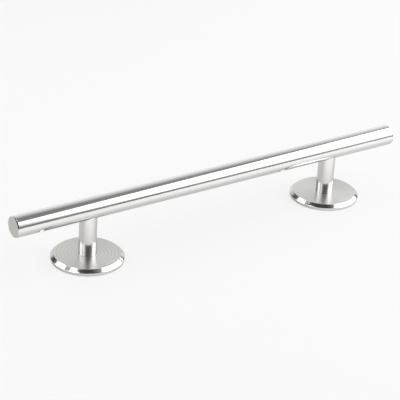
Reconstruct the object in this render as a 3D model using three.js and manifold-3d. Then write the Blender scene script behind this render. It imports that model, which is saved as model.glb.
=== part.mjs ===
// A boat's grab rail: a round handrail on two turned posts, each standing on a round rosette.
//
// Millimetres. The origin is on the deck, midway between the two posts.
// +X runs along the handrail and +Z points away from the deck.

import * as THREE from "three";
import { mergeVertices } from "three/addons/utils/BufferGeometryUtils.js";
import Module from "manifold-3d";

const manifold = await Module();
manifold.setup();

// ---------------------------------------------------------------- driving dimensions

const POST_SPACING = 300; // between the two post axes
const RAIL_OVERHANG = 83.5; // from a post's axis to the rail's end face
const RAIL_DIAMETER = 22;
const RAIL_WALL = 1.5;
const RAIL_HEIGHT = 56.2; // from the deck to the rail's axis

const POST_DIAMETER = 18.4;
const SPIGOT_DIAMETER = 14; // the post's foot, inside the rosette
const FOOT_GAP = 0.3; // the spigot stops this far above the deck
const FOOT_BORE_DIAMETER = 9.2; // tapped M10 x 1 for the deck bolt
const SEAT_HEIGHT = 31; // where the lock washer rests inside the post

const ROSETTE_DIAMETER = 75;
const ROSETTE_THICKNESS = 6.2;
const RIM_HEIGHT = 3.2; // upright edge below the chamfer
const CHAMFER_WIDTH = 3.4;
const EDGE_BREAK = 0.2;

const CAP_FLANGE = 1.5;
const CAP_CHAMFER = { length: 1, height: 0.37 }; // along the rail, and towards its axis
const CAP_SPIGOT_LENGTH = 12;
const CAP_RING_SECTION = 1.8;

const SCREW_DIAMETER = 5;
const SCREW_LENGTH = 25;
const SCREW_HEAD_DIAMETER = 8.5;
const SCREW_HEAD_HEIGHT = 5;
const HEX_ACROSS_FLATS = 4;
const HEX_DEPTH = 2.5;
const WASHER_DIAMETER = 8.2;
const WASHER_THICKNESS = 1.6;

const NUT_LENGTH = 20; // along the rail
const NUT_WIDTH = 14;
const NUT_THICKNESS = 6; // at the screw

const RETAINER_THICKNESS = 1;
const RETAINER_WIDTH = 2.4;
const RETAINER_HEIGHT = 1.5; // from the deck to its lower face
const RETAINER_POCKET = { diameter: 24, depth: 2.8 };

const SEAL_SECTION = 1.9;
const SEAL_DIAMETER = 58; // to the middle of the section
const SEAL_GROOVE = { width: 3.2, depth: 2 };
const RELIEF = { inner: 15, outer: 25, depth: 0.6 }; // radii of the hollow under the rosette

const CLEARANCE = 0.3; // between a curved face and the face that it fits
const ROUND_SIDES = 40;
const SMALL_SIDES = 20;

// ---------------------------------------------------------------- derived dimensions

const railRadius = RAIL_DIAMETER / 2;
const boreRadius = railRadius - RAIL_WALL;
const tubeLength = POST_SPACING + 2 * (RAIL_OVERHANG - CAP_FLANGE);
const screwHoleRadius = SCREW_DIAMETER / 2 + CLEARANCE;
const screwHeadBottom = SEAT_HEIGHT - WASHER_THICKNESS - SCREW_HEAD_HEIGHT;
const capSpigotRadius = boreRadius - CLEARANCE;
const capRingInset = 0.1; // from the ring to the bore and to the floor of its groove
const capRingRadius = boreRadius - capRingInset - CAP_RING_SECTION / 2;
const capGrooveRadius = boreRadius - CAP_RING_SECTION - 2 * capRingInset;
const capGrooveWidth = CAP_RING_SECTION + 2 * capRingInset;
const capGrooveStarts = [CAP_FLANGE + 2, CAP_FLANGE + 7];
const retainerSidePlay = 0.05;
const retainerPlay = 0.15; // between the ring and the floor of its groove
const retainerGrooveRadius = SPIGOT_DIAMETER / 2 - 0.4;

// ---------------------------------------------------------------- materials

function metal(name, colour, roughness) {
  return new THREE.MeshStandardMaterial({ name, color: colour, roughness, metalness: 1 });
}

const polishedSteel = metal("polished_steel", 0xe2e3e3, 0.08);
const turnedSteel = metal("turned_steel", 0xcbcbc8, 0.38);
const fastenerSteel = metal("fastener_steel", 0xa9a9a6, 0.35);
const sealRubber = new THREE.MeshStandardMaterial({
  name: "seal_rubber",
  color: 0x1c1c1d,
  roughness: 0.85,
  metalness: 0,
});

// ---------------------------------------------------------------- shape helpers

// Joins the shared corners of a geometry and drops the triangles that have no area.
function welded(geometry) {
  const bare = geometry.clone();
  bare.deleteAttribute("normal");
  bare.deleteAttribute("uv");
  const merged = mergeVertices(bare, 1e-4);
  const corners = Array.from(merged.index.array);
  const kept = [];
  for (let i = 0; i < corners.length; i += 3) {
    const [a, b, c] = corners.slice(i, i + 3);
    if (a !== b && b !== c && c !== a) kept.push(a, b, c);
  }
  merged.setIndex(kept);
  return merged;
}

function toSolid(geometry) {
  const shape = welded(geometry);
  const mesh = new manifold.Mesh({
    numProp: 3,
    vertProperties: new Float32Array(shape.attributes.position.array),
    triVerts: new Uint32Array(shape.index.array),
  });
  return new manifold.Manifold(mesh);
}

function toGeometry(solid) {
  const mesh = solid.getMesh();
  const geometry = new THREE.BufferGeometry();
  geometry.setAttribute("position", new THREE.BufferAttribute(mesh.vertProperties, 3));
  geometry.setIndex(new THREE.BufferAttribute(mesh.triVerts, 1));
  return geometry;
}

function cutAway(geometry, ...cutters) {
  const remaining = cutters.reduce((solid, cutter) => solid.subtract(toSolid(cutter)), toSolid(geometry));
  return toGeometry(remaining);
}

// A body turned about Z from [radius, height] points that run anticlockwise round its half section.
function turned(points, sides) {
  const outline = points.map(([radius, height]) => new THREE.Vector2(radius, height));
  return welded(new THREE.LatheGeometry(outline, sides).rotateX(Math.PI / 2));
}

// A solid round bar along Z, from bottom to top.
function bar(radius, bottom, top, sides) {
  const length = top - bottom;
  return new THREE.CylinderGeometry(radius, radius, length, sides)
    .rotateX(Math.PI / 2)
    .translate(0, 0, bottom + length / 2);
}

// The same bar laid along X, its axis at the given height.
function barAlongX(radius, length, height, sides) {
  return bar(radius, -length / 2, length / 2, sides).rotateY(Math.PI / 2).translate(0, 0, height);
}

// A ring about Z whose section is a hexagon as high as the section's diameter.
function softRing(ringRadius, section, sides) {
  const corners = 6;
  const points = [];
  for (let i = 0; i <= corners; i += 1) {
    const angle = ((i % corners) * 2 * Math.PI) / corners - Math.PI / 2;
    points.push([
      ringRadius + (section / 2) * Math.cos(angle),
      (section / 2) * Math.sin(angle),
    ]);
  }
  return turned(points, sides);
}

// A flat ring about Z, from z = 0 up, with a slot of the given width on its +X side.
function splitRing(innerRadius, outerRadius, thickness, slotWidth) {
  const halfSlot = slotWidth / 2;
  const outerAngle = Math.asin(halfSlot / outerRadius);
  const innerAngle = Math.asin(halfSlot / innerRadius);
  const outline = new THREE.Shape();
  outline.absarc(0, 0, outerRadius, outerAngle, 2 * Math.PI - outerAngle, false);
  outline.absarc(0, 0, innerRadius, 2 * Math.PI - innerAngle, innerAngle, true);
  return new THREE.ExtrudeGeometry(outline, {
    depth: thickness,
    bevelEnabled: false,
    curveSegments: SMALL_SIDES / 2,
  });
}

// ---------------------------------------------------------------- handrail

function handrailTube() {
  const half = tubeLength / 2;
  const wall = [
    [boreRadius, -half],
    [railRadius, -half],
    [railRadius, half],
    [boreRadius, half],
    [boreRadius, -half],
  ];
  const tube = turned(wall, ROUND_SIDES).rotateY(Math.PI / 2);
  const screwHoles = [-1, 1].map((side) =>
    bar(screwHoleRadius, -railRadius - 1, -boreRadius / 2, SMALL_SIDES).translate(
      (side * POST_SPACING) / 2,
      0,
      0,
    ),
  );
  return cutAway(tube, ...screwHoles);
}

// The cap's outer face is at z = 0 and its spigot runs up into the tube.
function endCap() {
  const end = CAP_FLANGE + CAP_SPIGOT_LENGTH;
  const leadIn = 0.8;
  const hollowRadius = 5;
  const hollowDepth = 9;
  const groove = (start) => [
    [capSpigotRadius, start],
    [capGrooveRadius, start],
    [capGrooveRadius, start + capGrooveWidth],
    [capSpigotRadius, start + capGrooveWidth],
  ];
  return turned(
    [
      [0, 0],
      [railRadius - CAP_CHAMFER.height, 0],
      [railRadius, CAP_CHAMFER.length],
      [railRadius, CAP_FLANGE],
      [capSpigotRadius, CAP_FLANGE],
      ...capGrooveStarts.flatMap(groove),
      [capSpigotRadius, end - leadIn],
      [capSpigotRadius - leadIn, end],
      [hollowRadius, end],
      [hollowRadius, end - hollowDepth],
      [0, end - hollowDepth],
    ],
    ROUND_SIDES,
  );
}

function capRing() {
  return softRing(capRingRadius, CAP_RING_SECTION, SMALL_SIDES);
}

// ---------------------------------------------------------------- post and its fixings

// Turned from bar, bored from below for the deck bolt, and cut to a saddle that fits under the rail.
function post() {
  const radius = POST_DIAMETER / 2;
  const spigotRadius = SPIGOT_DIAMETER / 2;
  const boltRadius = FOOT_BORE_DIAMETER / 2;
  const grooveBottom = RETAINER_HEIGHT - retainerSidePlay;
  const grooveTop = RETAINER_HEIGHT + RETAINER_THICKNESS + retainerSidePlay;
  const roughTop = RAIL_HEIGHT - railRadius / 2 - CLEARANCE;
  const blank = turned(
    [
      [boltRadius, FOOT_GAP],
      [spigotRadius, FOOT_GAP],
      [spigotRadius, grooveBottom],
      [retainerGrooveRadius, grooveBottom],
      [retainerGrooveRadius, grooveTop],
      [spigotRadius, grooveTop],
      [spigotRadius, ROSETTE_THICKNESS],
      [radius, ROSETTE_THICKNESS],
      [radius, roughTop],
      [screwHoleRadius, roughTop],
      [screwHoleRadius, SEAT_HEIGHT],
      [boltRadius, SEAT_HEIGHT],
      [boltRadius, FOOT_GAP],
    ],
    ROUND_SIDES,
  );
  const saddle = barAlongX(railRadius + CLEARANCE, 2 * POST_DIAMETER, RAIL_HEIGHT, ROUND_SIDES);
  return cutAway(blank, saddle);
}

// A plate inside the tube, rounded below to fit the bore, with the rail screw's thread.
function saddleNut() {
  const bottom = RAIL_HEIGHT - boreRadius;
  const top = bottom + NUT_THICKNESS;
  const block = new THREE.BoxGeometry(NUT_LENGTH, NUT_WIDTH, 2 * NUT_THICKNESS);
  block.translate(0, 0, top - NUT_THICKNESS);
  const round = barAlongX(boreRadius - CLEARANCE, 2 * NUT_LENGTH, RAIL_HEIGHT, ROUND_SIDES);
  const thread = bar(screwHoleRadius, bottom - 1, top + 1, SMALL_SIDES);
  return toGeometry(toSolid(block).intersect(toSolid(round)).subtract(toSolid(thread)));
}

function railScrew() {
  const headRadius = SCREW_HEAD_DIAMETER / 2;
  const shankRadius = SCREW_DIAMETER / 2;
  const shankBottom = screwHeadBottom + SCREW_HEAD_HEIGHT;
  const tip = shankBottom + SCREW_LENGTH;
  const chamfer = 0.6;
  const blank = turned(
    [
      [0, screwHeadBottom],
      [headRadius - chamfer, screwHeadBottom],
      [headRadius, screwHeadBottom + chamfer],
      [headRadius, shankBottom],
      [shankRadius, shankBottom],
      [shankRadius, tip - chamfer],
      [shankRadius - chamfer, tip],
      [0, tip],
    ],
    SMALL_SIDES,
  );
  const hexRadius = HEX_ACROSS_FLATS / Math.sqrt(3);
  return cutAway(blank, bar(hexRadius, screwHeadBottom - 1, screwHeadBottom + HEX_DEPTH, 6));
}

function lockWasher() {
  const washer = splitRing(screwHoleRadius, WASHER_DIAMETER / 2, WASHER_THICKNESS, 0.8);
  return washer.translate(0, 0, SEAT_HEIGHT - WASHER_THICKNESS);
}

// ---------------------------------------------------------------- rosette and its rings

function rosette() {
  const rim = ROSETTE_DIAMETER / 2;
  const hole = SPIGOT_DIAMETER / 2 + CLEARANCE;
  const pocket = RETAINER_POCKET.diameter / 2;
  const sealInner = (SEAL_DIAMETER - SEAL_GROOVE.width) / 2;
  const sealOuter = (SEAL_DIAMETER + SEAL_GROOVE.width) / 2;
  return turned(
    [
      [pocket, 0],
      [RELIEF.inner, 0],
      [RELIEF.inner, RELIEF.depth],
      [RELIEF.outer, RELIEF.depth],
      [RELIEF.outer, 0],
      [sealInner, 0],
      [sealInner, SEAL_GROOVE.depth],
      [sealOuter, SEAL_GROOVE.depth],
      [sealOuter, 0],
      [rim - EDGE_BREAK, 0],
      [rim, EDGE_BREAK],
      [rim, RIM_HEIGHT],
      [rim - CHAMFER_WIDTH, ROSETTE_THICKNESS],
      [hole, ROSETTE_THICKNESS],
      [hole, RETAINER_POCKET.depth],
      [pocket, RETAINER_POCKET.depth],
      [pocket, 0],
    ],
    ROUND_SIDES,
  );
}

// A circlip: a split ring with two eyed lugs for the pliers.
function retainingRing() {
  const inner = retainerGrooveRadius + retainerPlay;
  const lugRadius = 1.9;
  const eyeRadius = 0.9;
  const lugDistance = inner + lugRadius;
  const lugAngle = 0.34; // each lug's turn from the middle of the slot, in radians
  const ring = splitRing(inner, inner + RETAINER_WIDTH, RETAINER_THICKNESS, 2.4);
  const upright = (radius, bottom, top, side) =>
    toSolid(
      bar(radius, bottom, top, SMALL_SIDES / 2).translate(
        lugDistance * Math.cos(lugAngle),
        side * lugDistance * Math.sin(lugAngle),
        0,
      ),
    );
  let clip = toSolid(ring);
  for (const side of [-1, 1]) {
    clip = clip.add(upright(lugRadius, 0, RETAINER_THICKNESS, side));
    clip = clip.subtract(upright(eyeRadius, -1, RETAINER_THICKNESS + 1, side));
  }
  return toGeometry(clip).translate(0, 0, RETAINER_HEIGHT);
}

// The seal is squeezed level with the rosette's underside.
function deckSeal() {
  const lift = 0.05; // keeps the squeezed seal just off the deck
  return softRing(SEAL_DIAMETER / 2, SEAL_SECTION, ROUND_SIDES).translate(0, 0, SEAL_SECTION / 2 + lift);
}

// ---------------------------------------------------------------- assembly

function piece(name, geometry, material) {
  const mesh = new THREE.Mesh(geometry, material);
  mesh.name = name;
  return mesh;
}

// One leg, standing at the origin: everything that stays with a post.
function leg(side) {
  const group = new THREE.Group();
  group.add(
    piece(`${side}_post`, post(), polishedSteel),
    piece(`${side}_rosette`, rosette(), turnedSteel),
    piece(`${side}_saddle_nut`, saddleNut(), fastenerSteel),
    piece(`${side}_rail_screw`, railScrew(), fastenerSteel),
    piece(`${side}_lock_washer`, lockWasher(), fastenerSteel),
    piece(`${side}_retaining_ring`, retainingRing(), fastenerSteel),
    piece(`${side}_deck_seal`, deckSeal(), sealRubber),
  );
  return group;
}

// One end cap with its rings, laid along X with its outer face at x = 0 and its spigot towards +X.
function cappedEnd(side) {
  const group = new THREE.Group();
  const rings = { outer: capGrooveStarts[0], inner: capGrooveStarts[1] };
  group.add(piece(`${side}_end_cap`, endCap().rotateY(Math.PI / 2), polishedSteel));
  for (const [place, start] of Object.entries(rings)) {
    const ring = capRing().rotateY(Math.PI / 2);
    const mesh = piece(`${side}_end_cap_${place}_ring`, ring, sealRubber);
    mesh.position.x = start + capGrooveWidth / 2;
    group.add(mesh);
  }
  return group;
}

const grabRail = new THREE.Group();

const tube = piece("handrail_tube", handrailTube(), polishedSteel);
tube.position.z = RAIL_HEIGHT;
grabRail.add(tube);

for (const [side, direction] of [["left", -1], ["right", 1]]) {
  const foot = leg(side);
  foot.position.x = (direction * POST_SPACING) / 2;
  grabRail.add(foot);

  const end = cappedEnd(side);
  end.position.set(direction * (POST_SPACING / 2 + RAIL_OVERHANG), 0, RAIL_HEIGHT);
  end.rotation.z = direction === 1 ? Math.PI : 0;
  grabRail.add(end);
}

export default grabRail;
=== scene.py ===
"""A boat's grab rail in polished and turned stainless steel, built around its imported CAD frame.

Metres, in the frame's own axes: +X along the handrail, +Z away from the deck. Every piece is
modelled in coordinates of its own, the round ones about their local Z, the axis they would be
turned on, and is then set in its place.
"""

import math

import bmesh
import bpy
from mathutils import Matrix, Vector


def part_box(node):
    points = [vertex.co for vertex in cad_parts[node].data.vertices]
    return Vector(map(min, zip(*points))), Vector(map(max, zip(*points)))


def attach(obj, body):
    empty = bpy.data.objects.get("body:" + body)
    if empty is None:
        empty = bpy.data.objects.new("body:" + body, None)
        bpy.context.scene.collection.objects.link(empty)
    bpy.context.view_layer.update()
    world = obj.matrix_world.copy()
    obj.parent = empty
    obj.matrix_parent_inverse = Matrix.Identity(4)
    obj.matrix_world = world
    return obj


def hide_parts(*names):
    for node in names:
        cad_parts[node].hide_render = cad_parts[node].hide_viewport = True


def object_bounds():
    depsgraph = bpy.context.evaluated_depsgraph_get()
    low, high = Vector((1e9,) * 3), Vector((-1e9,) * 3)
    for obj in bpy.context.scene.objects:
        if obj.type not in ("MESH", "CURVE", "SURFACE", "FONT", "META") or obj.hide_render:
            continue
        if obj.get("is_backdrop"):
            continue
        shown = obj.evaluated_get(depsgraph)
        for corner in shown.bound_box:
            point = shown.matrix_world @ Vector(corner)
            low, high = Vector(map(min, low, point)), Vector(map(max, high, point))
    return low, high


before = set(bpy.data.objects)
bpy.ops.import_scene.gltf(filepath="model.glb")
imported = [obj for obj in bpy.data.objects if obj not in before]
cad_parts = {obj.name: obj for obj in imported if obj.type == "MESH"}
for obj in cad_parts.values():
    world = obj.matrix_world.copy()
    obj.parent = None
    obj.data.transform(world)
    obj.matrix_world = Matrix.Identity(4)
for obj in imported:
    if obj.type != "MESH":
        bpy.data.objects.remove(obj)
cad_lowest, cad_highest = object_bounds()

MM = 0.001

# ---------------------------------------------------------------- sizes taken from the frame
# The frame's two sides are alike, so the left side's nodes give the sizes of both.

tube_low, tube_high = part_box("handrail_tube")
cap_low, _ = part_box("left_end_cap")
post_low, post_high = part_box("left_post")
rosette_low, rosette_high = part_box("left_rosette")
screw_low, screw_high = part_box("left_rail_screw")
washer_low, washer_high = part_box("left_lock_washer")
nut_low, nut_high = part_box("left_saddle_nut")
retainer_low, retainer_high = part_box("left_retaining_ring")
seal_low, seal_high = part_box("left_deck_seal")

RAIL_RADIUS = (tube_high.z - tube_low.z) / 2
RAIL_HEIGHT = (tube_high.z + tube_low.z) / 2
TUBE_LENGTH = tube_high.x - tube_low.x
LEFT_END_X = cap_low.x
LEFT_POST_X = (post_low.x + post_high.x) / 2
POST_RADIUS = (post_high.y - post_low.y) / 2
POST_FOOT = post_low.z
ROSETTE_RADIUS = (rosette_high.y - rosette_low.y) / 2
ROSETTE_TOP = rosette_high.z
SCREW_HEAD_RADIUS = (screw_high.y - screw_low.y) / 2
SCREW_BOTTOM = screw_low.z
SCREW_TIP = screw_high.z
WASHER_RADIUS = (washer_high.y - washer_low.y) / 2
WASHER_BOTTOM = washer_low.z
WASHER_TOP = washer_high.z
NUT_BOTTOM = nut_low.z
NUT_TOP = nut_high.z
RETAINER_BOTTOM = retainer_low.z
RETAINER_TOP = retainer_high.z
SEAL_RADIUS = (seal_high.y - seal_low.y) / 2
SEAL_TOP = seal_high.z

# ---------------------------------------------------------------- sizes of the fine detail

CRISP_EDGE = 0.04 * MM
EDGE_BREAK = 0.15 * MM
SOFT_EDGE = 0.2 * MM
RIM_FOOT_FILLET = 0.25 * MM
INNER_FILLET = 0.3 * MM
POCKET_FILLET = 0.4 * MM
HOLLOW_FILLET = 0.5 * MM
HOLD = 0.12 * MM  # how far behind an edge a row of points keeps a long wall's shading straight

RAIL_WALL = 1.5 * MM

CAP_FLANGE = 1.5 * MM
CAP_GAP = 0.03 * MM  # between the flange and the tube's end
CAP_CHAMFER_LENGTH = 1 * MM
CAP_CHAMFER_HEIGHT = 0.37 * MM
CAP_SPIGOT_CLEARANCE = 0.2 * MM
CAP_SPIGOT_LENGTH = 12 * MM
CAP_LEAD_IN = 0.8 * MM
CAP_HOLLOW_RADIUS = 5 * MM
CAP_HOLLOW_DEPTH = 9 * MM
CAP_GROOVE_STARTS = (3.5 * MM, 8.5 * MM)
CAP_GROOVE_WIDTH = 2 * MM
CAP_GROOVE_DEPTH = 1.7 * MM
CAP_RING_SECTION = 1.8 * MM
CAP_RING_CLEARANCE = 0.05 * MM

SADDLE_GAP = 0.06 * MM  # between the handrail and the posts
SADDLE_RADII = (8 * MM, 6.5 * MM, 5 * MM, 3.8 * MM)
SPIGOT_RADIUS = 7 * MM
SPIGOT_EDGE = 0.3 * MM
RETAINER_GROOVE_DEPTH = 0.4 * MM
FOOT_BORE_RADIUS = 4.6 * MM
FOOT_MOUTH_RADIUS = 5 * MM
FOOT_THREAD_ROOT = 4.95 * MM
FOOT_THREAD_DEPTH = 0.5 * MM
FOOT_THREAD_PITCH = 1 * MM
FOOT_THREAD_START = 1 * MM
FOOT_THREAD_LENGTH = 15 * MM
FOOT_THREAD_RUNOUT = 1 * MM  # above the thread, where its root narrows to the bore

RIM_HEIGHT = 3.2 * MM
CHAMFER_WIDTH = 3.4 * MM
FACE_BORDER = 1 * MM  # the plain edge of the ringed face
ROSETTE_HOLE_CLEARANCE = 0.1 * MM
TURNED_RING_PITCH = 3.7 * MM
TURNED_RING_DEPTH = {"left": 0.08 * MM, "right": 0.02 * MM}
FACE_DEPTH = 0.2 * MM  # more than any turned ring's depth
RELIEF_RADII = (15 * MM, 25 * MM)
RELIEF_DEPTH = 0.6 * MM
POCKET_RADIUS = 12 * MM
POCKET_DEPTH = 2.8 * MM
SEAL_SECTION = 1.9 * MM
SEAL_GROOVE_WIDTH = 3.2 * MM
SEAL_GROOVE_DEPTH = 2 * MM

SCREW_RADIUS = 2.5 * MM
SCREW_HOLE_RADIUS = 2.8 * MM
SCREW_THREAD_DEPTH = 0.45 * MM
SCREW_THREAD_PITCH = 0.8 * MM
SCREW_PLAIN_SHANK = 3 * MM
SCREW_POINT_LENGTH = 0.5 * MM
SCREW_POINT_DEPTH = 0.6 * MM
SCREW_HEAD_BEVEL = 0.5 * MM
SCREW_HEAD_SHOULDER = 0.1 * MM  # how far the plain bands of the head lie below its knurls
SCREW_HEAD_BAND = 0.3 * MM
KNURL_DEPTH = 0.12 * MM
HEX_ACROSS_FLATS = 4 * MM
HEX_DEPTH = 2.5 * MM
HEX_CONE_DEPTH = 0.6 * MM
HEX_MOUTH_DEPTH = 0.2 * MM
HEX_MOUTH_WIDTH = 0.45 * MM

WASHER_SLOT = 0.8 * MM
SADDLE_NUT_LENGTH = 20 * MM
SADDLE_NUT_WIDTH = 14 * MM
SADDLE_NUT_EDGE = 0.4 * MM
SADDLE_NUT_BEVEL = 0.3 * MM
SADDLE_NUT_END_SHARE = 0.96  # the size of each end face, against the nut's full section
TAP_CLEARANCE = 0.1 * MM
TAP_DEPTH = 0.4 * MM
TAP_OVERRUN = 1 * MM  # beyond both faces of the nut
RETAINER_INNER_RADIUS = 6.75 * MM
RETAINER_WIDTH = 2.4 * MM
RETAINER_LUG_RADIUS = 1.9 * MM
RETAINER_EYE_RADIUS = 0.9 * MM
RETAINER_LUG_ANGLE = 0.34  # radians, from the middle of the split to the middle of a lug
STAMPED_EDGE = 0.1 * MM

FINE_SIDES = 192
POST_SIDES = 128
MEDIUM_SIDES = 96
SMALL_SIDES = 48
SECTION_STEPS = 24  # points round the section of a rubber ring
FILLET_STEPS = 3
FILLET_SHARE = 0.45  # the most of a stretch that one rounded corner takes up
THREAD_STEPS = 6  # rows of points in each turn of a thread
TURNED_RING_STEPS = 10  # rows of points in each ring of the rosette's face
POST_WALL_STEPS = 16
NUT_ARC_STEPS = 16
RETAINER_ARC_STEPS = 60
LUG_ARC_STEPS = 20
SHARP_ANGLE = math.radians(24)
SAME_PLACE = 1e-6  # points closer than this count as one
LEVEL = 0.98  # the upright part of a normal, from which a face counts as level
FACING_DOWN = -0.9  # and below which it counts as facing down

# ---------------------------------------------------------------- scene and node helpers


def add_object(name, data):
    """Puts an object with the given data into the scene."""
    added = bpy.data.objects.new(name, data)
    bpy.context.scene.collection.objects.link(added)
    return added


def node(tree, kind, inputs=None, **settings):
    """Adds a node. Its inputs are given by name or number, each as a value or a socket to link."""
    made = tree.nodes.new(kind)
    for name, value in settings.items():
        setattr(made, name, value)
    for socket, value in (inputs or {}).items():
        if isinstance(value, bpy.types.NodeSocket):
            tree.links.new(value, made.inputs[socket])
        else:
            made.inputs[socket].default_value = value
    return made


def calculate(tree, operation, *values):
    return node(tree, "ShaderNodeMath", dict(enumerate(values)), operation=operation).outputs[0]


def dot(tree, vector, direction):
    inputs = {0: vector, 1: tuple(direction)}
    made = node(tree, "ShaderNodeVectorMath", inputs, operation="DOT_PRODUCT")
    return made.outputs["Value"]


def remap(tree, value, low, high, out_low=0.0, out_high=1.0, smooth=True):
    inputs = {
        "Value": value,
        "From Min": low,
        "From Max": high,
        "To Min": out_low,
        "To Max": out_high,
    }
    kind = "SMOOTHSTEP" if smooth else "LINEAR"
    return node(tree, "ShaderNodeMapRange", inputs, interpolation_type=kind).outputs["Result"]


def blend(tree, kind, factor, first, second):
    """Goes from one value to another, numbers for the kind FLOAT and colours for RGBA."""
    inputs = {"Factor": factor, "A": first, "B": second}
    return node(tree, "ShaderNodeMix", inputs, data_type=kind).outputs["Result"]


def new_material(name):
    material = bpy.data.materials.new(name)
    material.use_nodes = True
    return material


# ---------------------------------------------------------------- camera

CAMERA_AZIMUTH = math.radians(-34.912)
CAMERA_ELEVATION = math.radians(26.912)
CAMERA_ROLL = math.radians(3.214)
CAMERA_TARGET = Vector((-0.015684, 0, 0.033736))
CAMERA_DISTANCE = 1.658334
CAMERA_LENS = 143.216  # millimetres


def make_camera():
    """A long lens above the rail's left end, turned slightly about its own axis."""
    azimuth, elevation, roll = CAMERA_AZIMUTH, CAMERA_ELEVATION, CAMERA_ROLL
    back = Vector((
        math.sin(azimuth) * math.cos(elevation),
        -math.cos(azimuth) * math.cos(elevation),
        math.sin(elevation),
    ))
    level = Vector((math.cos(azimuth), math.sin(azimuth), 0))
    upright = back.cross(level)
    right = math.cos(roll) * level + math.sin(roll) * upright
    up = -math.sin(roll) * level + math.cos(roll) * upright
    data = bpy.data.cameras.new("camera")
    data.lens = CAMERA_LENS
    camera = add_object("camera", data)
    turn = Matrix((right, up, back)).transposed().to_4x4()
    camera.matrix_world = Matrix.Translation(CAMERA_TARGET + back * CAMERA_DISTANCE) @ turn
    bpy.context.scene.camera = camera


# ---------------------------------------------------------------- studio
# Azimuths are in degrees anticlockwise from +X. Strengths are of white light.

WHITE = (1, 1, 1, 1)

# what lies round the rail: dim behind its left end and brighter beyond its right end
ROOM_AZIMUTH = 10
ROOM_BLEND = (-0.15, 0.15)
ROOM_STRENGTHS = (0.07, 0.3)

# the far wall, brightest straight ahead of the camera
WALL_AZIMUTH = 90 + math.degrees(CAMERA_AZIMUTH)
WALL_RIGHT_AZIMUTH = 23
WALL_LEFT_AZIMUTH = 101
WALL_EDGE_BLEND = (-0.04, 0.06)
WALL_REACH = (0.46, 1.0)
WALL_STRENGTHS = (0.3, 1.2)

BACKDROP_STRENGTH = 0.93  # what the camera itself sees behind the rail

# the panels, each with a dimmer border and a foot and head between which its strength changes
PANEL_BRIGHT_SHARE = 0.7
PANEL_BORDER_STRENGTH = 0.2
PANEL_FOOT_HEIGHT = 0.45
PANEL_HEAD_HEIGHT = 0.9
KEY_PANEL = (
    (0.33, -1.03, 1.67),
    (0.56, -1.79, 0.495),
    (1.25, -1.49, 0.12),
    (3.10, 0.27, 0.27),
    (3.44, 1.18, 1.02),
    (1.78, 0.61, 2.12),
)
FILL_PANEL = (
    (-1.89, -0.66, 0.30),
    (-1.22, -0.79, 1.95),
    (-0.72, 1.87, 1.95),
    (-1.50, 1.45, 0.30),
)
TOP_PANEL = (
    (-0.2, -0.3, 1.95),
    (0.45, -0.3, 1.95),
    (0.45, 0.35, 1.95),
    (-0.2, 0.35, 1.95),
)

# the floor: its tones and its own glow, as the steel reflects them and as the camera sees them; the
# reflected tone holds a painted shadow of the rail
FLOOR_RADIUS = 0.85
FLOOR_SIDES = 96
FLOOR_GAP = 0.1 * MM  # keeps the feet and the floor out of one plane
# painted shadow: the floor's reflected tone darkens from in front of the rail to just behind its
# middle, where the rail's shadow falls
FLOOR_PAINTED_SHADOW_BLEND = (-0.11, 0.01)  # across the rail, from in front of it to just behind its middle
FLOOR_REFLECTED_TONES_WITH_PAINTED_SHADOW = (0.8, 0.42)
FLOOR_SEEN_TONE = 0.14
FLOOR_REFLECTED_GLOW = 0.25
FLOOR_SEEN_GLOW = 0.75
FLOOR_ROUGHNESS = 0.9
FLOOR_SPECULAR = 0.1


def heading(azimuth):
    """The level unit vector at an azimuth."""
    turn = math.radians(azimuth)
    return Vector((math.cos(turn), math.sin(turn), 0))


def make_world():
    """A dim room whose bright far wall fades upwards and sideways. The camera itself sees an even
    and very pale grey."""
    world = bpy.data.worlds.new("studio")
    bpy.context.scene.world = world
    world.use_nodes = True
    tree = world.node_tree
    tree.nodes.clear()
    ray = node(tree, "ShaderNodeTexCoord").outputs["Generated"]

    room = remap(tree, dot(tree, ray, heading(ROOM_AZIMUTH)), *ROOM_BLEND, *ROOM_STRENGTHS)
    ahead = dot(tree, ray, heading(WALL_AZIMUTH))
    wall = remap(tree, ahead, *WALL_REACH, *WALL_STRENGTHS, smooth=False)
    right_edge = remap(tree, dot(tree, ray, heading(WALL_RIGHT_AZIMUTH + 90)), *WALL_EDGE_BLEND)
    left_edge = remap(tree, dot(tree, ray, heading(WALL_LEFT_AZIMUTH - 90)), *WALL_EDGE_BLEND)
    on_wall = calculate(tree, "MULTIPLY", right_edge, left_edge)
    reflected = blend(tree, "FLOAT", on_wall, room, wall)

    seen = node(tree, "ShaderNodeLightPath").outputs["Is Camera Ray"]
    strength = blend(tree, "FLOAT", seen, reflected, BACKDROP_STRENGTH)
    shader = node(tree, "ShaderNodeBackground", {"Color": WHITE, "Strength": strength})
    output = node(tree, "ShaderNodeOutputWorld")
    tree.links.new(shader.outputs[0], output.inputs["Surface"])


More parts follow.
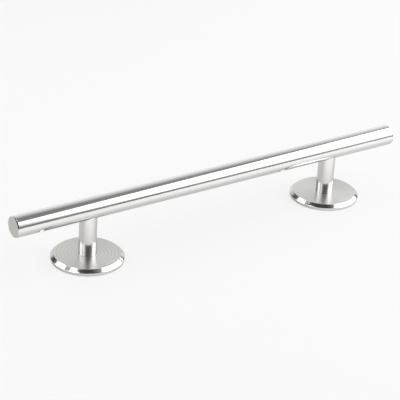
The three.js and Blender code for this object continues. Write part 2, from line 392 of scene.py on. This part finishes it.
def make_soft_light(name, corners, foot_strength, head_strength):
    """A flat diffusing panel, dimmer towards its foot and along its border. It lights the object
    and shows only in its reflections."""
    count = len(corners)
    middle = sum(map(Vector, corners), Vector()) / count
    inner = [middle.lerp(Vector(corner), PANEL_BRIGHT_SHARE) for corner in corners]
    border = [(i, (i + 1) % count, (i + 1) % count + count, i + count) for i in range(count)]
    mesh = bpy.data.meshes.new(name)
    mesh.from_pydata([*corners, *inner], [], [*border, tuple(range(count, 2 * count))])
    glow = mesh.attributes.new("glow", "FLOAT", "POINT")
    glow.data.foreach_set("value", [0.0] * count + [1.0] * count)

    material = new_material(name)
    tree = material.node_tree
    tree.nodes.clear()
    share = node(tree, "ShaderNodeAttribute", attribute_name="glow").outputs["Fac"]
    place = node(tree, "ShaderNodeTexCoord").outputs["Object"]
    height = node(tree, "ShaderNodeSeparateXYZ", {"Vector": place}).outputs["Z"]
    reach = (PANEL_FOOT_HEIGHT, PANEL_HEAD_HEIGHT)
    upright = remap(tree, height, *reach, foot_strength, head_strength)
    inwards = remap(tree, share, 0, 1, PANEL_BORDER_STRENGTH, 1.0)
    strength = calculate(tree, "MULTIPLY", upright, inwards)
    shader = node(tree, "ShaderNodeEmission", {"Color": WHITE, "Strength": strength})
    output = node(tree, "ShaderNodeOutputMaterial")
    tree.links.new(shader.outputs[0], output.inputs["Surface"])

    mesh.materials.append(material)
    panel = add_object(name, mesh)
    panel.visible_camera = False
    panel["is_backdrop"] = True


def make_floor():
    """A round, pale and matt light table, which glows a little by itself. It is paler to the eye than
    in reflections, where it carries a painted shadow of the rail, darker just behind its middle."""
    corners = [FLOOR_RADIUS * heading(360 * i / FLOOR_SIDES) for i in range(FLOOR_SIDES)]
    mesh = bpy.data.meshes.new("floor")
    mesh.from_pydata(corners, [], [list(range(FLOOR_SIDES))])

    material = new_material("floor")
    tree = material.node_tree
    shader = tree.nodes["Principled BSDF"]
    seen = node(tree, "ShaderNodeLightPath").outputs["Is Camera Ray"]
    place = node(tree, "ShaderNodeTexCoord").outputs["Object"]
    across = node(tree, "ShaderNodeSeparateXYZ", {"Vector": place}).outputs["Y"]
    # painted shadow of the rail in the tone the steel reflects: darker from in front of the rail to
    # just behind its middle
    reflected = remap(tree, across, *FLOOR_PAINTED_SHADOW_BLEND, *FLOOR_REFLECTED_TONES_WITH_PAINTED_SHADOW)
    tone = blend(tree, "FLOAT", seen, reflected, FLOOR_SEEN_TONE)
    glow = blend(tree, "FLOAT", seen, FLOOR_REFLECTED_GLOW, FLOOR_SEEN_GLOW)
    tree.links.new(tone, shader.inputs["Base Color"])
    tree.links.new(glow, shader.inputs["Emission Strength"])
    shader.inputs["Emission Color"].default_value = WHITE
    shader.inputs["Roughness"].default_value = FLOOR_ROUGHNESS
    shader.inputs["Specular IOR Level"].default_value = FLOOR_SPECULAR

    mesh.materials.append(material)
    floor = add_object("floor", mesh)
    floor.location.z = -FLOOR_GAP
    floor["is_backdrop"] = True


def make_studio():
    """The world, three panels and the floor, shown without a film-like tone curve."""
    make_world()
    make_soft_light("key_panel", KEY_PANEL, foot_strength=1.7, head_strength=4.8)
    make_soft_light("fill_panel", FILL_PANEL, foot_strength=1.5, head_strength=4.0)
    make_soft_light("top_panel", TOP_PANEL, foot_strength=1.5, head_strength=1.5)
    make_floor()
    bpy.context.scene.view_settings.view_transform = "Standard"


# ---------------------------------------------------------------- materials

WEAR = "edge_wear"
NOISE_SPAN = (0.3, 0.7)  # where most of a noise's values lie


class Surface:
    """A Principled material under construction, in the piece's own coordinates."""

    def __init__(self, name, metallic, anisotropic=0.0):
        self.material = new_material(name)
        self.tree = self.material.node_tree
        self.shader = self.tree.nodes["Principled BSDF"]
        self.shader.inputs["Metallic"].default_value = metallic
        self.shader.inputs["Anisotropic"].default_value = anisotropic
        self.place = node(self.tree, "ShaderNodeTexCoord").outputs["Object"]

    def noise(self, scale, detail):
        """Grain whose cells are 1 / scale metres along each of the piece's axes."""
        stretched = node(self.tree, "ShaderNodeMapping", {"Vector": self.place, "Scale": scale})
        inputs = {"Vector": stretched.outputs[0], "Scale": 1.0, "Detail": detail}
        return node(self.tree, "ShaderNodeTexNoise", inputs).outputs["Fac"]

    def radius(self):
        """The distance from the turning axis."""
        inputs = {0: self.place, 1: (1, 1, 0)}
        flat = node(self.tree, "ShaderNodeVectorMath", inputs, operation="MULTIPLY").outputs[0]
        length = node(self.tree, "ShaderNodeVectorMath", {0: flat}, operation="LENGTH")
        return length.outputs["Value"]

    def height(self):
        return node(self.tree, "ShaderNodeSeparateXYZ", {"Vector": self.place}).outputs["Z"]

    def tool_marks(self, spacing):
        """Uneven rings about the turning axis, left by the tool as it crosses a face."""
        turns = calculate(self.tree, "MULTIPLY", self.radius(), 1 / spacing)
        inputs = {"W": turns, "Scale": 1.0, "Detail": 4.0}
        return node(self.tree, "ShaderNodeTexNoise", inputs, noise_dimensions="1D").outputs["Fac"]

    def wear(self):
        return node(self.tree, "ShaderNodeAttribute", attribute_name=WEAR).outputs["Fac"]

    def colour(self, factor, dark, light):
        tone = blend(self.tree, "RGBA", factor, (*dark, 1), (*light, 1))
        self.tree.links.new(tone, self.shader.inputs["Base Color"])

    def roughness(self, factor, smooth, rough, worn):
        """Roughness between two values by a factor, with a little more along worn edges."""
        base = remap(self.tree, factor, *NOISE_SPAN, smooth, rough)
        edges = calculate(self.tree, "MULTIPLY", self.wear(), worn)
        total = calculate(self.tree, "ADD", base, edges)
        self.tree.links.new(total, self.shader.inputs["Roughness"])

    def bump(self, height, depth):
        """Raises the surface by a height socket, to a depth in metres."""
        inputs = {"Height": height, "Distance": depth, "Strength": 1.0}
        normal = node(self.tree, "ShaderNodeBump", inputs).outputs["Normal"]
        self.tree.links.new(normal, self.shader.inputs["Normal"])

    def brushed_round(self, turn):
        """Makes the anisotropic lobe follow rings about the turning axis, turned by a share of a
        full circle."""
        tangent = node(self.tree, "ShaderNodeTangent", direction_type="RADIAL", axis="Z")
        self.tree.links.new(tangent.outputs[0], self.shader.inputs["Tangent"])
        self.shader.inputs["Anisotropic Rotation"].default_value = turn


def polished_along():
    """Tube polished along its length: faint long hairlines and soft, wide smudges."""
    surface = Surface("polished_steel_along", metallic=1.0)
    smudge = surface.noise((28, 28, 12), detail=4)
    hairlines = surface.noise((1400, 1400, 9), detail=2)
    surface.colour(smudge, dark=(0.635, 0.632, 0.622), light=(0.665, 0.663, 0.655))
    surface.roughness(smudge, smooth=0.10, rough=0.15, worn=0.05)
    surface.bump(hairlines, depth=0.0012 * MM)
    return surface.material


def polished_round():
    """Turned and buffed steel: the polishing lines run round the piece."""
    surface = Surface("polished_steel_round", metallic=1.0)
    smudge = surface.noise((70, 70, 45), detail=4)
    rings = surface.noise((25, 25, 1500), detail=2)
    surface.colour(smudge, dark=(0.63, 0.625, 0.61), light=(0.665, 0.66, 0.65))
    surface.roughness(smudge, smooth=0.10, rough=0.16, worn=0.06)
    surface.bump(rings, depth=0.001 * MM)
    return surface.material


def faced_steel():
    """A sawn and faced end: matt, with close rings left by the tool."""
    surface = Surface("faced_steel", metallic=1.0)
    cloud = surface.noise((160, 160, 160), detail=3)
    surface.colour(cloud, dark=(0.56, 0.56, 0.54), light=(0.6, 0.6, 0.58))
    surface.roughness(cloud, smooth=0.42, rough=0.5, worn=0.1)
    surface.bump(surface.tool_marks(spacing=0.35 * MM), depth=0.006 * MM)
    return surface.material


def turned_steel():
    """The rosette's top: a satin face whose fine grooves spread light outwards from the post. The
    bottoms of its turned rings carry painted shade, and its cloudier parts are a shade darker."""
    surface = Surface("turned_steel", metallic=1.0, anisotropic=0.4)
    marks = surface.tool_marks(spacing=0.5 * MM)
    deepest = ROSETTE_TOP - max(TURNED_RING_DEPTH.values())
    # painted shade: the base colour is darker in the bottoms of the turned rings, times a cloudy tone
    # that varies at random
    shallow = remap(surface.tree, surface.height(), deepest, ROSETTE_TOP, smooth=False)
    cloud = surface.noise((45, 45, 45), detail=3)
    lifted_cloud = calculate(surface.tree, "ADD", cloud, 0.5)
    groove_shade_and_cloud = calculate(surface.tree, "MULTIPLY", shallow, lifted_cloud)
    surface.colour(groove_shade_and_cloud, dark=(0.565, 0.562, 0.545), light=(0.635, 0.632, 0.617))
    surface.roughness(marks, smooth=0.37, rough=0.42, worn=0.1)
    surface.bump(marks, depth=0.0015 * MM)
    surface.brushed_round(turn=0.25)
    return surface.material


def fastener_steel():
    """Plain stainless screws, washers, nuts and circlips, a shade darker and duller."""
    surface = Surface("fastener_steel", metallic=1.0)
    cloud = surface.noise((500, 500, 500), detail=4)
    grain = surface.noise((2500, 2500, 2500), detail=2)
    surface.colour(cloud, dark=(0.42, 0.42, 0.41), light=(0.52, 0.52, 0.51))
    surface.roughness(cloud, smooth=0.3, rough=0.42, worn=0.15)
    surface.bump(grain, depth=0.004 * MM)
    return surface.material


def seal_rubber():
    """Moulded black rubber with a dusty bloom."""
    surface = Surface("seal_rubber", metallic=0.0)
    bloom = surface.noise((350, 350, 350), detail=5)
    grain = surface.noise((3000, 3000, 3000), detail=3)
    surface.colour(bloom, dark=(0.012, 0.012, 0.013), light=(0.03, 0.03, 0.031))
    surface.roughness(bloom, smooth=0.62, rough=0.8, worn=0.05)
    surface.bump(grain, depth=0.02 * MM)
    return surface.material


POLISHED_ALONG = polished_along()
POLISHED_ROUND = polished_round()
FACED = faced_steel()
TURNED = turned_steel()
FASTENER = fastener_steel()
RUBBER = seal_rubber()

# ---------------------------------------------------------------- outlines


def filleted(points):
    """Rounds the corners of an outline, given as (radius, height, fillet) points. The last point
    counts as the neighbour of the first."""
    outline = []
    count = len(points)
    for i, (x, y, fillet) in enumerate(points):
        corner = Vector((x, y))
        if fillet == 0:
            outline.append(corner)
            continue
        before = Vector(points[i - 1][:2]) - corner
        after = Vector(points[(i + 1) % count][:2]) - corner
        reach = min(fillet, FILLET_SHARE * before.length, FILLET_SHARE * after.length)
        start = corner + before.normalized() * reach
        end = corner + after.normalized() * reach
        for k in range(FILLET_STEPS + 1):
            t = k / FILLET_STEPS
            outline.append((1 - t) ** 2 * start + 2 * t * (1 - t) * corner + t**2 * end)
    return outline


def divided(outline, longest, closed=True):
    """Adds points so that no stretch of the outline is longer than the given length."""
    result = []
    count = len(outline)
    for i, point in enumerate(outline):
        result.append(point)
        if i == count - 1 and not closed:
            break
        onward = outline[(i + 1) % count]
        pieces = math.ceil((onward - point).length / longest)
        result.extend(point.lerp(onward, k / pieces) for k in range(1, pieces))
    return result


def unit(angle):
    """The unit vector at an angle, in radians."""
    return Vector((math.cos(angle), math.sin(angle)))


def arc(centre, radius, start, end, steps):
    """Points on an arc about a centre, from one angle to another."""
    return [centre + radius * unit(start + (end - start) * k / steps) for k in range(steps + 1)]


def circle(centre, radius, steps):
    return arc(centre, radius, 0, 2 * math.pi, steps)[:-1]


def thread(radius, depth, pitch, bottom, top):
    """The rings of a screw thread, whose flanks wind about Z between two heights and fade out
    towards both."""
    rows = round((top - bottom) / pitch * THREAD_STEPS)

    def flank(z):
        fade = min(1, (z - bottom) / pitch, (top - z) / pitch)

        def radius_at(angle):
            phase = (z / pitch - angle / (2 * math.pi)) % 1
            return radius - depth * fade * abs(2 * phase - 1)

        return radius_at

    heights = [bottom + (top - bottom) * k / rows for k in range(rows + 1)]
    return [(flank(z), z) for z in heights]


# ---------------------------------------------------------------- bodies


def join_rings(body, low, high):
    """Fills the band between two rings of vertices. Where a ring is one point, it makes a cone."""
    for i in range(len(low)):
        k = (i + 1) % len(low)
        corners = list(dict.fromkeys((low[i], low[k], high[k], high[i])))
        if len(corners) > 2:
            body.faces.new(corners)


def revolve(outline, sides, closed=True):
    """Turns (radius, height) points about Z. Either value may also be a function of the angle."""
    body = bmesh.new()
    rings = []
    for radius, height in outline:
        if radius == 0:
            rings.append([body.verts.new((0, 0, height))] * sides)
            continue
        ring = []
        for i in range(sides):
            angle = 2 * math.pi * i / sides
            r = radius(angle) if callable(radius) else radius
            z = height(angle) if callable(height) else height
            ring.append(body.verts.new((r * math.cos(angle), r * math.sin(angle), z)))
        rings.append(ring)
    for low, high in zip(rings, rings[1:]):
        join_rings(body, low, high)
    if closed:
        join_rings(body, rings[-1], rings[0])
    return body


def loft(rows):
    """Joins a row of alike outlines in space into a body, with a flat face at both ends."""
    body = bmesh.new()
    rings = [[body.verts.new(point) for point in row] for row in rows]
    for before, after in zip(rings, rings[1:]):
        join_rings(body, before, after)
    body.faces.new(rings[0])
    body.faces.new(reversed(rings[-1]))
    return body


def from_object(piece):
    """The evaluated mesh of an object, modifiers applied, as a body to go on working with."""
    evaluated = piece.evaluated_get(bpy.context.evaluated_depsgraph_get())
    mesh = bpy.data.meshes.new_from_object(evaluated)
    body = bmesh.new()
    body.from_mesh(mesh)
    bpy.data.meshes.remove(mesh)
    return body


def temporary(body):
    """Uses a body up as an object, for a modifier to work on."""
    mesh = bpy.data.meshes.new("temporary")
    bmesh.ops.recalc_face_normals(body, faces=body.faces)
    body.to_mesh(mesh)
    body.free()
    return add_object("temporary", mesh)


def cut(body, *cutters):
    """Takes the cutters away from a body."""
    blank = temporary(body)
    tools = [temporary(cutter) for cutter in cutters]
    for tool in tools:
        boolean = blank.modifiers.new("cut", "BOOLEAN")
        boolean.operation = "DIFFERENCE"
        boolean.solver = "EXACT"
        boolean.object = tool
    bpy.context.view_layer.update()
    result = from_object(blank)
    for piece in (blank, *tools):
        bpy.data.meshes.remove(piece.data)
    return result


def stamped(outlines, thickness, rounding):
    """A flat plate about z = 0, its edges rounded. The first outline is its rim and the others
    are holes."""
    curve = bpy.data.curves.new("temporary", "CURVE")
    curve.dimensions = "2D"
    curve.fill_mode = "BOTH"
    curve.extrude = thickness / 2 - rounding
    curve.bevel_depth = rounding
    curve.bevel_resolution = 1
    curve.offset = -rounding
    for points in outlines:
        spline = curve.splines.new("POLY")
        spline.points.add(len(points) - 1)
        spline.use_cyclic_u = True
        for made, point in zip(spline.points, points):
            made.co = (point.x, point.y, 0, 1)
    plate = add_object("temporary", curve)
    bpy.context.view_layer.update()
    body = from_object(plate)
    bpy.data.curves.remove(curve)
    bmesh.ops.remove_doubles(body, verts=body.verts, dist=SAME_PLACE)
    return body


# ---------------------------------------------------------------- pieces


def at(x, z=0.0):
    return Matrix.Translation((x, 0, z))


def lying(direction):
    """Turns a piece's own +Z to face along X, in the given direction."""
    return Matrix.Rotation(direction * math.pi / 2, 4, "Y")


def mark_wear(mesh, body):
    """Writes an attribute that is 1 at the corners of the piece and fades away from them."""
    worn = set()
    for edge in body.edges:
        if len(edge.link_faces) == 2 and edge.calc_face_angle() > SHARP_ANGLE / 2:
            worn.update(vertex.index for vertex in edge.verts)
    values = [float(i in worn) for i in range(len(body.verts))]
    mesh.attributes.new(WEAR, "FLOAT", "POINT").data.foreach_set("value", values)


def add_piece(cad_node, body, materials, place, material_of=None):
    """Turns a body into the piece that stands for a CAD node, set in its place and shaded. Given
    a face's middle and normal, material_of tells which of the materials the face has."""
    bmesh.ops.recalc_face_normals(body, faces=body.faces)
    body.verts.index_update()
    if material_of:
        for face in body.faces:
            face.material_index = material_of(face.calc_center_median(), face.normal)
    name = f"{cad_node}_fine"
    mesh = bpy.data.meshes.new(name)
    body.to_mesh(mesh)
    mark_wear(mesh, body)
    body.free()
    for material in materials:
        mesh.materials.append(material)
    mesh.shade_smooth()
    mesh.set_sharp_from_angle(angle=SHARP_ANGLE)
    piece = add_object(name, mesh)
    piece.matrix_world = place
    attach(piece, "root")
    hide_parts(cad_node)


# ---------------------------------------------------------------- handrail


def make_handrail_tube():
    """A tube with a screw hole in its underside over each post."""
    half = TUBE_LENGTH / 2
    bore = RAIL_RADIUS - RAIL_WALL
    held = half - HOLD
    wall = filleted([
        (bore, -half, EDGE_BREAK),
        (RAIL_RADIUS, -half, CRISP_EDGE),
        (RAIL_RADIUS, -held, 0),
        (RAIL_RADIUS, held, 0),
        (RAIL_RADIUS, half, CRISP_EDGE),
        (bore, half, EDGE_BREAK),
    ])
    tube = revolve(divided(wall, longest=8 * MM), FINE_SIDES)
    drill_length = 2 * RAIL_RADIUS
    drill = [
        (0, 0),
        (SCREW_HOLE_RADIUS, 0),
        (SCREW_HOLE_RADIUS, drill_length),
        (0, drill_length),
    ]
    holes = []
    for x in (-LEFT_POST_X, LEFT_POST_X):
        hole = revolve(drill, SMALL_SIDES, closed=False)
        hole.transform(at(0, x) @ lying(1))
        holes.append(hole)
    place = at(0, RAIL_HEIGHT) @ lying(1)
    add_piece("handrail_tube", cut(tube, *holes), [POLISHED_ALONG], place)


# ---------------------------------------------------------------- end caps


def cap_place(direction):
    """A cap's outer face is at its own z = 0 and its spigot runs up into the tube."""
    return at(direction * LEFT_END_X, RAIL_HEIGHT) @ lying(direction)


def make_end_cap(side, direction):
    """A bevelled flange at the tube's end, on a hollow spigot with two grooves."""
    spigot = RAIL_RADIUS - RAIL_WALL - CAP_SPIGOT_CLEARANCE
    flange_back = CAP_FLANGE - CAP_GAP
    end = CAP_FLANGE + CAP_SPIGOT_LENGTH
    points = [
        (0, 0, 0),
        (RAIL_RADIUS - CAP_CHAMFER_HEIGHT, 0, 0),
        (RAIL_RADIUS, CAP_CHAMFER_LENGTH, 0),
        (RAIL_RADIUS, flange_back - HOLD, 0),
        (RAIL_RADIUS, flange_back, CRISP_EDGE),
        (spigot, flange_back, 0),
    ]
    for start in CAP_GROOVE_STARTS:
        points += [
            (spigot, start, EDGE_BREAK),
            (spigot - CAP_GROOVE_DEPTH, start, INNER_FILLET),
            (spigot - CAP_GROOVE_DEPTH, start + CAP_GROOVE_WIDTH, INNER_FILLET),
            (spigot, start + CAP_GROOVE_WIDTH, EDGE_BREAK),
        ]
    points += [
        (spigot, end - CAP_LEAD_IN, EDGE_BREAK),
        (spigot - CAP_LEAD_IN, end, EDGE_BREAK),
        (CAP_HOLLOW_RADIUS, end, EDGE_BREAK),
        (CAP_HOLLOW_RADIUS, end - CAP_HOLLOW_DEPTH, HOLLOW_FILLET),
        (0, end - CAP_HOLLOW_DEPTH, 0),
    ]
    outline = divided(filleted(points), longest=1.5 * MM, closed=False)
    body = revolve(outline, FINE_SIDES, closed=False)

    def material_of(centre, _normal):
        if centre.z < SAME_PLACE:
            return 0
        return 1 if centre.z < CAP_FLANGE else 2

    materials = [FACED, POLISHED_ALONG, FASTENER]
    place = cap_place(direction)
    add_piece(f"{side}_end_cap", body, materials, place, material_of)


def make_cap_rings(side, direction):
    """Two rubber rings in the grooves of a cap's spigot, which hold it in the tube."""
    outer = RAIL_RADIUS - RAIL_WALL - CAP_RING_CLEARANCE
    for name, start in zip(("outer", "inner"), CAP_GROOVE_STARTS):
        middle = Vector((outer - CAP_RING_SECTION / 2, start + CAP_GROOVE_WIDTH / 2))
        ring = revolve(circle(middle, CAP_RING_SECTION / 2, SECTION_STEPS), MEDIUM_SIDES)
        cad_node = f"{side}_end_cap_{name}_ring"
        add_piece(cad_node, ring, [RUBBER], cap_place(direction))


# ---------------------------------------------------------------- post


def saddle_height(y):
    """The height of the saddle that the handrail lies in, y from the post's middle."""
    radius = RAIL_RADIUS + SADDLE_GAP
    return RAIL_HEIGHT - math.sqrt(radius**2 - y**2)


def saddle_ring(radius, drop=0.0):
    """A ring of the post's top, which follows the saddle at a radius."""
    return radius, lambda angle: saddle_height(radius * math.sin(angle)) - drop


def wall_ring(share):
    """A ring of the post's wall, at a share of the way up from the rosette to the saddle."""
    foot = ROSETTE_TOP + EDGE_BREAK
    _, head = saddle_ring(POST_RADIUS, EDGE_BREAK)
    return POST_RADIUS, lambda angle: foot + share * (head(angle) - foot)


def make_post(side, x):
    """A turned leg: a polished wall below the saddle, and a spigot that holds the rosette. It is
    bored and tapped from below, and its screw's hole is above that."""
    groove_radius = SPIGOT_RADIUS - RETAINER_GROOVE_DEPTH
    thread_bottom = POST_FOOT + FOOT_THREAD_START
    thread_top = thread_bottom + FOOT_THREAD_LENGTH
    foot = filleted([
        (SPIGOT_RADIUS, POST_FOOT, SPIGOT_EDGE),
        (SPIGOT_RADIUS, RETAINER_BOTTOM, 0),
        (groove_radius, RETAINER_BOTTOM, 0),
        (groove_radius, RETAINER_TOP, 0),
        (SPIGOT_RADIUS, RETAINER_TOP, 0),
        (SPIGOT_RADIUS, ROSETTE_TOP, 0),
        (POST_RADIUS - EDGE_BREAK, ROSETTE_TOP, 0),
    ])
    wall = [wall_ring(k / POST_WALL_STEPS) for k in range(POST_WALL_STEPS + 1)]
    saddle_radii = (POST_RADIUS - EDGE_BREAK, *SADDLE_RADII, SCREW_HOLE_RADIUS)
    bore = filleted([
        (SCREW_HOLE_RADIUS, WASHER_TOP, EDGE_BREAK),
        (FOOT_BORE_RADIUS, WASHER_TOP, INNER_FILLET),
        (FOOT_BORE_RADIUS, thread_top + FOOT_THREAD_RUNOUT, 0),
    ])
    tapping = (FOOT_THREAD_ROOT, FOOT_THREAD_DEPTH, FOOT_THREAD_PITCH)
    threads = thread(*tapping, thread_bottom, thread_top)
    mouth = (FOOT_MOUTH_RADIUS, POST_FOOT)
    outline = [
        *divided(foot, longest=3 * MM, closed=False),
        *wall,
        *map(saddle_ring, saddle_radii),
        *divided(bore, longest=4 * MM, closed=False),
        *reversed(threads),
        mouth,
    ]

    def material_of(centre, _normal):
        radius = math.hypot(centre.x, centre.y)
        return 0 if radius > SPIGOT_RADIUS + EDGE_BREAK and centre.z > ROSETTE_TOP else 1

    body = revolve(outline, POST_SIDES)
    materials = [POLISHED_ROUND, FASTENER]
    add_piece(f"{side}_post", body, materials, at(x), material_of)


# ---------------------------------------------------------------- rosette


def make_rosette(side, x):
    """A turned disc: relieved and grooved below, polished round its edge and finely ringed on top."""
    hole = SPIGOT_RADIUS + ROSETTE_HOLE_CLEARANCE
    face_edge = ROSETTE_RADIUS - CHAMFER_WIDTH
    first_ring = face_edge - FACE_BORDER
    seal_inner = SEAL_RADIUS - SEAL_SECTION / 2 - SEAL_GROOVE_WIDTH / 2
    seal_outer = seal_inner + SEAL_GROOVE_WIDTH
    relief_inner, relief_outer = RELIEF_RADII
    outline = filleted([
        (hole, POCKET_DEPTH, EDGE_BREAK),
        (POCKET_RADIUS, POCKET_DEPTH, POCKET_FILLET),
        (POCKET_RADIUS, 0, EDGE_BREAK),
        (relief_inner, 0, EDGE_BREAK),
        (relief_inner, RELIEF_DEPTH, SOFT_EDGE),
        (relief_outer, RELIEF_DEPTH, SOFT_EDGE),
        (relief_outer, 0, EDGE_BREAK),
        (seal_inner, 0, EDGE_BREAK),
        (seal_inner, SEAL_GROOVE_DEPTH, INNER_FILLET),
        (seal_outer, SEAL_GROOVE_DEPTH, INNER_FILLET),
        (seal_outer, 0, EDGE_BREAK),
        (ROSETTE_RADIUS, 0, RIM_FOOT_FILLET),
        (ROSETTE_RADIUS, RIM_HEIGHT, SOFT_EDGE),
        (face_edge, ROSETTE_TOP, 0),
        (first_ring, ROSETTE_TOP, 0),
    ])
    outline = divided(outline, longest=1.2 * MM, closed=False)
    steps = round((face_edge - hole) / TURNED_RING_PITCH * TURNED_RING_STEPS)
    face = []
    for k in range(1, steps + 1):
        radius = first_ring + (hole - first_ring) * k / steps
        wave = (1 - math.cos(2 * math.pi * radius / TURNED_RING_PITCH)) / 2
        fade = min(1, (first_ring - radius) / FACE_BORDER)
        face.append(Vector((radius, ROSETTE_TOP - TURNED_RING_DEPTH[side] * wave * fade)))
    body = revolve([*outline, *face], FINE_SIDES)

    def material_of(centre, normal):
        if centre.z > ROSETTE_TOP - FACE_DEPTH and normal.z > LEVEL:
            return 0
        radius = math.hypot(centre.x, centre.y)
        return 1 if radius > face_edge - EDGE_BREAK and normal.z > FACING_DOWN else 2

    materials = [TURNED, POLISHED_ROUND, FACED]
    add_piece(f"{side}_rosette", body, materials, at(x), material_of)


def make_deck_seal(side, x):
    """A rubber ring in the groove below a rosette."""
    section_radius = SEAL_SECTION / 2
    middle = Vector((SEAL_RADIUS - section_radius, SEAL_TOP - section_radius))
    seal = revolve(circle(middle, section_radius, SECTION_STEPS), MEDIUM_SIDES)
    add_piece(f"{side}_deck_seal", seal, [RUBBER], at(x))


# ---------------------------------------------------------------- fixings inside each leg


def make_rail_screw(side, x):
    """A socket head cap screw, head down, with a knurled head and a rolled thread."""
    knurls = SMALL_SIDES // 2
    plain_radius = SCREW_HEAD_RADIUS - SCREW_HEAD_SHOULDER
    head_top = WASHER_BOTTOM
    socket_end = SCREW_BOTTOM + HEX_DEPTH

    def hexagon(angle):
        sixth = math.pi / 3
        return HEX_ACROSS_FLATS / 2 / math.cos(angle % sixth - sixth / 2)

    def knurled(angle):
        return SCREW_HEAD_RADIUS - KNURL_DEPTH * (1 - math.cos(angle * knurls)) / 2

    socket = [
        (0, socket_end + HEX_CONE_DEPTH),
        (hexagon, socket_end),
        (hexagon, SCREW_BOTTOM + HEX_MOUTH_DEPTH),
        (HEX_ACROSS_FLATS / 2 + HEX_MOUTH_WIDTH, SCREW_BOTTOM),
    ]
    head = [
        (plain_radius - SCREW_HEAD_BEVEL, SCREW_BOTTOM),
        (plain_radius, SCREW_BOTTOM + SCREW_HEAD_BEVEL),
        (knurled, SCREW_BOTTOM + SCREW_HEAD_BEVEL + SCREW_HEAD_BAND),
        (knurled, head_top - 2 * SCREW_HEAD_BAND),
        (plain_radius, head_top - SCREW_HEAD_BAND),
        (plain_radius - SCREW_HEAD_SHOULDER, head_top),
        (SCREW_RADIUS, head_top),
    ]
    rolling = (SCREW_RADIUS, SCREW_THREAD_DEPTH, SCREW_THREAD_PITCH)
    shank = thread(*rolling, head_top + SCREW_PLAIN_SHANK, SCREW_TIP - SCREW_POINT_LENGTH)
    tip = [(SCREW_RADIUS - SCREW_POINT_DEPTH, SCREW_TIP), (0, SCREW_TIP)]
    body = revolve([*socket, *head, *shank, *tip], SMALL_SIDES, closed=False)
    add_piece(f"{side}_rail_screw", body, [FASTENER], at(x))


def make_lock_washer(side, x):
    """A split spring washer: a square section wound once round, its two ends cut square."""
    inner, outer = SCREW_HOLE_RADIUS, WASHER_RADIUS
    bottom, top = WASHER_BOTTOM, WASHER_TOP
    corners = ((inner, bottom), (outer, bottom), (outer, top), (inner, top))
    section = divided(filleted([(*corner, SOFT_EDGE) for corner in corners]), longest=0.5 * MM)
    start = math.asin(WASHER_SLOT / 2 / inner)
    sweep = 2 * math.pi - 2 * start
    rows = []
    for k in range(SMALL_SIDES + 1):
        along = unit(start + sweep * k / SMALL_SIDES).to_3d()
        rows.append([along * radius + Vector((0, 0, height)) for radius, height in section])
    add_piece(f"{side}_lock_washer", loft(rows), [FASTENER], at(x))


def make_saddle_nut(side, x):
    """A tapped plate inside the tube, rounded below to fit the bore."""
    half_width = SADDLE_NUT_WIDTH / 2
    half_length = SADDLE_NUT_LENGTH / 2
    round_radius = RAIL_HEIGHT - NUT_BOTTOM
    reach = math.asin(half_width / round_radius)
    straight_down = -math.pi / 2
    span = (straight_down - reach, straight_down + reach)
    underside = arc(Vector((0, RAIL_HEIGHT)), round_radius, *span, NUT_ARC_STEPS)
    profile = filleted([
        *((*point, 0) for point in underside),
        (half_width, NUT_TOP, SADDLE_NUT_EDGE),
        (-half_width, NUT_TOP, SADDLE_NUT_EDGE),
    ])
    middle = Vector((0, (NUT_TOP + NUT_BOTTOM) / 2))
    bevel_start = half_length - SADDLE_NUT_BEVEL
    rows = []
    for end in (-half_length, -bevel_start, bevel_start, half_length):
        share = SADDLE_NUT_END_SHARE if abs(end) == half_length else 1
        shrunk = [middle + share * (point - middle) for point in profile]
        rows.append([(end, point.x, point.y) for point in shrunk])
    plate = loft(rows)

    bottom = NUT_BOTTOM - TAP_OVERRUN
    top = NUT_TOP + TAP_OVERRUN
    tap = thread(SCREW_RADIUS + TAP_CLEARANCE, TAP_DEPTH, SCREW_THREAD_PITCH, bottom, top)
    tool = revolve([(0, bottom), *tap, (0, top)], SMALL_SIDES, closed=False)
    add_piece(f"{side}_saddle_nut", cut(plate, tool), [FASTENER], at(x))


def make_retaining_ring(side, x):
    """A circlip: a flat split ring with two eyed lugs, its edges slightly rounded by stamping."""
    inner = RETAINER_INNER_RADIUS
    outer = inner + RETAINER_WIDTH
    lug, turn = RETAINER_LUG_RADIUS, RETAINER_LUG_ANGLE
    middle = Vector((0, 0))
    reach = inner + lug
    first = reach * unit(turn)
    second = reach * unit(-turn)
    # the lugs meet the ring's outer edge at an angle, spread, beyond their own middles
    spread = math.acos((outer**2 + reach**2 - lug**2) / (2 * outer * reach))
    meeting = outer * unit(turn + spread) - first
    meeting_angle = math.atan2(meeting.y, meeting.x)
    full = 2 * math.pi
    rim = [
        *arc(middle, inner, turn, full - turn, RETAINER_ARC_STEPS),
        *arc(second, lug, math.pi - turn, -meeting_angle, LUG_ARC_STEPS)[1:],
        *arc(middle, outer, full - turn - spread, turn + spread, RETAINER_ARC_STEPS)[1:],
        *arc(first, lug, meeting_angle, turn - math.pi, LUG_ARC_STEPS)[1:-1],
    ]
    eyes = [circle(centre, RETAINER_EYE_RADIUS, LUG_ARC_STEPS) for centre in (first, second)]
    body = stamped([rim, *eyes], RETAINER_TOP - RETAINER_BOTTOM, STAMPED_EDGE)
    place = at(x, (RETAINER_TOP + RETAINER_BOTTOM) / 2)
    add_piece(f"{side}_retaining_ring", body, [FASTENER], place)


# ---------------------------------------------------------------- the whole scene

make_camera()
make_studio()
make_handrail_tube()
for side, direction in (("left", 1), ("right", -1)):
    make_end_cap(side, direction)
    make_cap_rings(side, direction)
    x = direction * LEFT_POST_X
    make_post(side, x)
    make_rosette(side, x)
    make_deck_seal(side, x)
    make_rail_screw(side, x)
    make_lock_washer(side, x)
    make_saddle_nut(side, x)
    make_retaining_ring(side, x)

boxes = {"cad": (cad_lowest, cad_highest), "visual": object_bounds()}
{name: [list(low), list(high)] for name, (low, high) in boxes.items()}
